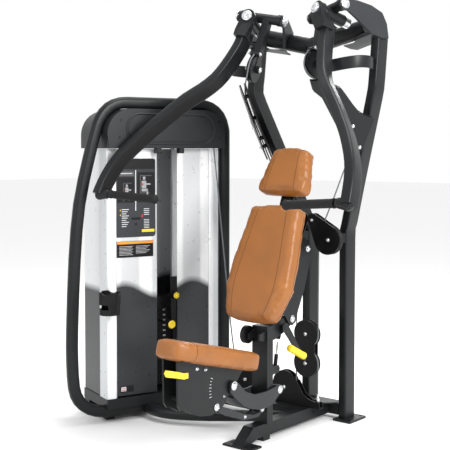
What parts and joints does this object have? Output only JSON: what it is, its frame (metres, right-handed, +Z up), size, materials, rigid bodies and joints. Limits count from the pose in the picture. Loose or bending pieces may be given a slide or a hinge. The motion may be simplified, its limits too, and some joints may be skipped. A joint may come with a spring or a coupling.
{
  "type": "chest press machine",
  "caption": "Converging two-arm chest press station with adjustable seat and back pad, cable linkage and a pin-selected weight stack tower.",
  "frame": {"origin": "on the floor under the seat post, on the centre plane of the press station", "axes": "+X towards the user's left, -Y the way the user faces, +Z up"},
  "size_m": [1.4888, 1.158, 1.7506],
  "materials": {
    "frame_black": "satin powder coat",
    "cowl_grey": "satin powder coat",
    "zinc": "bright zinc plate",
    "grip_rubber": "matte moulded rubber",
    "guard_black": "fine textured plastic",
    "pulley_nylon": "moulded nylon",
    "cable_steel": "nylon coated cable",
    "upholstery": "grained tan upholstery",
    "yellow_plastic": "gloss",
    "spring_black": "gloss",
    "chrome_rod": "polished",
    "column_aluminium": "satin anodised",
    "panel_silver": "gloss white-silver with a dark printed lower part",
    "shroud_black": "satin",
    "holder_black": "matte",
    "placard_black": "satin",
    "plate_iron": "painted"
  },
  "bodies": {
    "machine_frame": {"spine": "frame_black", "rear_crossmember": "frame_black", "foot_plates": "frame_black", "base_link": "frame_black", "upright_left": "frame_black", "upright_right": "frame_black", "top_boom": "frame_black", "cowl_left": "cowl_grey", "cowl_right": "cowl_grey", "press_pins": "zinc", "stop_hoops": "frame_black", "cable_guides": "frame_black", "pulley_guards": "guard_black", "floor_guard": "guard_black", "arm_cable": "cable_steel", "stack_cable": "cable_steel", "seat_post": "frame_black", "tower_base": "frame_black", "tower_columns": "column_aluminium", "front_panels": "panel_silver", "rear_cover": "panel_silver", "top_shroud": "shroud_black", "loop_tube": "frame_black", "cup_holder": "holder_black", "placard": "placard_black", "guide_rods": "chrome_rod", "resting_plates": "plate_iron"},
    "lifted_stack": {"lifted_plates": "plate_iron"},
    "selector_pin": {"selector_pin": "yellow_plastic"},
    "increment_knob": {"increment_knob": "yellow_plastic"},
    "rocker_left": {"press_rocker_left": "frame_black"},
    "rocker_right": {"press_rocker_right": "frame_black"},
    "arm_left": {"swing_shaft_left": "zinc", "press_arm_left": "frame_black", "hand_grip_left": "grip_rubber"},
    "arm_right": {"swing_shaft_right": "zinc", "press_arm_right": "frame_black", "hand_grip_right": "grip_rubber"},
    "floating_pulley": {"float_covers": "guard_black"},
    "float_wheel_upper": {"float_wheel_upper": "pulley_nylon"},
    "float_wheel_lower": {"float_wheel_lower": "pulley_nylon"},
    "arm_pulley_left": {"arm_pulley_left": "pulley_nylon"},
    "arm_pulley_right": {"arm_pulley_right": "pulley_nylon"},
    "floor_pulley_inner": {"floor_pulley_inner": "pulley_nylon"},
    "floor_pulley_outer": {"floor_pulley_outer": "pulley_nylon"},
    "tower_pulley_inner": {"tower_pulley_inner": "pulley_nylon"},
    "tower_pulley_outer": {"tower_pulley_outer": "pulley_nylon"},
    "seat_upper_link": {"seat_upper_link": "cowl_grey"},
    "seat_lower_link": {"seat_lower_link": "cowl_grey"},
    "seat_carriage": {"seat_carriage": "frame_black", "seat_cushion": "upholstery"},
    "seat_lever": {"seat_lever": "yellow_plastic"},
    "back_rest": {"pad_frame": "frame_black", "back_cushion": "upholstery", "headrest_cushion": "upholstery"},
    "range_lever": {"range_lever": "frame_black"},
    "gas_spring_tube": {"gas_spring_tube": "spring_black"},
    "gas_spring_rod": {"gas_spring_rod": "chrome_rod"}
  },
  "joints": [
    {"name": "stack_lift", "type": "slide", "parent": "machine_frame", "child": "lifted_stack", "axis": [0, 0, 1], "range_m": [0, 0.18]},
    {"name": "selector_pin_pull", "type": "slide", "parent": "lifted_stack", "child": "selector_pin", "axis": [0.9397, -0.342, 0], "range_m": [0, 0.14]},
    {"name": "increment_knob_turn", "type": "hinge", "parent": "machine_frame", "child": "increment_knob", "pos_m": [-0.52851, 0.05463, 0.526], "axis": [0.9397, -0.342, 0], "range_deg": [0, 90]},
    {"name": "press_left", "type": "hinge", "parent": "machine_frame", "child": "rocker_left", "pos_m": [0.165, 0.205, 1.711], "axis": [-0.9467, 0.2714, -0.1736], "range_deg": [0, 28.01]},
    {"name": "swing_left", "type": "hinge", "parent": "rocker_left", "child": "arm_left", "pos_m": [0.19561, 0.18658, 1.68811], "axis": [0.3137, 0.8994, -0.3043], "range_deg": [0, 8], "stiffness_Nm_per_rad": 60, "springref_deg": -34.38},
    {"name": "press_right", "type": "hinge", "parent": "machine_frame", "child": "rocker_right", "pos_m": [-0.165, 0.205, 1.711], "axis": [-0.9467, -0.2714, 0.1736], "range_deg": [0, 28.01]},
    {"name": "swing_right", "type": "hinge", "parent": "rocker_right", "child": "arm_right", "pos_m": [-0.19561, 0.18658, 1.68811], "axis": [0.3137, -0.8994, 0.3043], "range_deg": [0, 8], "stiffness_Nm_per_rad": 60, "springref_deg": -34.38},
    {"name": "float_lift", "type": "slide", "parent": "machine_frame", "child": "floating_pulley", "axis": [0, 0, 1], "range_m": [0, 0.0901], "deforming": ["arm_cable", "stack_cable"]},
    {"name": "float_wheel_upper_spin", "type": "hinge", "parent": "floating_pulley", "child": "float_wheel_upper", "pos_m": [0, 0.314, 0.382], "axis": [0, 1, 0], "range_deg": [-200, 200]},
    {"name": "float_wheel_lower_spin", "type": "hinge", "parent": "floating_pulley", "child": "float_wheel_lower", "pos_m": [0, 0.314, 0.257], "axis": [0, 1, 0], "range_deg": [-200, 200]},
    {"name": "arm_pulley_left_spin", "type": "hinge", "parent": "machine_frame", "child": "arm_pulley_left", "pos_m": [0.11, 0.314, 0.787], "axis": [0, 1, 0], "range_deg": [-200, 200]},
    {"name": "arm_pulley_right_spin", "type": "hinge", "parent": "machine_frame", "child": "arm_pulley_right", "pos_m": [-0.11, 0.314, 0.787], "axis": [0, 1, 0], "range_deg": [-200, 200]},
    {"name": "floor_pulley_inner_spin", "type": "hinge", "parent": "machine_frame", "child": "floor_pulley_inner", "pos_m": [-0.11, 0.314, 0.138], "axis": [0, 1, 0], "range_deg": [-200, 200]},
    {"name": "floor_pulley_outer_spin", "type": "hinge", "parent": "machine_frame", "child": "floor_pulley_outer", "pos_m": [-0.324, 0.314, 0.138], "axis": [0, 1, 0], "range_deg": [-200, 200]},
    {"name": "tower_pulley_inner_spin", "type": "hinge", "parent": "machine_frame", "child": "tower_pulley_inner", "pos_m": [-0.6198, 0.09984, 1.229], "axis": [-0.5425, 0.8401, 0], "range_deg": [-200, 200]},
    {"name": "tower_pulley_outer_spin", "type": "hinge", "parent": "machine_frame", "child": "tower_pulley_outer", "pos_m": [-0.4892, 0.18416, 1.229], "axis": [-0.5425, 0.8401, 0], "range_deg": [-200, 200]},
    {"name": "seat_height", "type": "hinge", "parent": "machine_frame", "child": "seat_upper_link", "pos_m": [0, 0.051, 0.2], "axis": [-1, 0, 0], "range_deg": [-8, 16]},
    {"name": "seat_lower_swing", "type": "hinge", "parent": "machine_frame", "child": "seat_lower_link", "pos_m": [0, -0.038, 0.134], "axis": [-1, 0, 0], "range_deg": [-8.01, 16.01]},
    {"name": "seat_level", "type": "hinge", "parent": "seat_upper_link", "child": "seat_carriage", "pos_m": [0, -0.243, 0.269], "axis": [1, 0, 0], "range_deg": [-8.01, 16.01]},
    {"name": "seat_lever_pull", "type": "hinge", "parent": "seat_carriage", "child": "seat_lever", "pos_m": [0, -0.511, 0.352], "axis": [-1, 0, 0], "range_deg": [0, 12], "stiffness_Nm_per_rad": 2, "springref_deg": -17.19},
    {"name": "back_tilt", "type": "hinge", "parent": "machine_frame", "child": "back_rest", "pos_m": [0, 0.149, 0.471], "axis": [1, 0, 0], "range_deg": [0, 5]},
    {"name": "range_lever_lift", "type": "hinge", "parent": "machine_frame", "child": "range_lever", "pos_m": [0, 0.088, 0.443], "axis": [1, 0, 0], "range_deg": [0, 14]},
    {"name": "gas_spring_swing", "type": "hinge", "parent": "machine_frame", "child": "gas_spring_tube", "pos_m": [0, 0.084, 0.272], "axis": [-1, 0, 0], "range_deg": [0, 5]},
    {"name": "gas_spring_slide", "type": "slide", "parent": "gas_spring_tube", "child": "gas_spring_rod", "axis": [0, -0.1619, -0.9868], "range_m": [0, 0.006]}
  ],
  "couplings": [
    {"joint": "press_left", "follows": "stack_lift", "rad_per_m": 2.715},
    {"joint": "press_right", "follows": "stack_lift", "rad_per_m": 2.715},
    {"joint": "float_lift", "follows": "stack_lift", "ratio": 0.5},
    {"joint": "float_wheel_lower_spin", "follows": "stack_lift", "rad_per_m": 9.0909},
    {"joint": "arm_pulley_left_spin", "follows": "stack_lift", "rad_per_m": 9.0909},
    {"joint": "arm_pulley_right_spin", "follows": "stack_lift", "rad_per_m": -9.0909},
    {"joint": "floor_pulley_inner_spin", "follows": "stack_lift", "rad_per_m": 18.182},
    {"joint": "floor_pulley_outer_spin", "follows": "stack_lift", "rad_per_m": 18.182},
    {"joint": "tower_pulley_inner_spin", "follows": "stack_lift", "rad_per_m": -18.182},
    {"joint": "tower_pulley_outer_spin", "follows": "stack_lift", "rad_per_m": -18.182},
    {"joint": "seat_lower_swing", "follows": "seat_height", "ratio": 1},
    {"joint": "seat_level", "follows": "seat_height", "ratio": 1},
    {"joint": "gas_spring_swing", "follows": "back_tilt", "ratio": 0.6163},
    {"joint": "gas_spring_slide", "follows": "back_tilt", "m_per_rad": 0.026408}
  ]
}
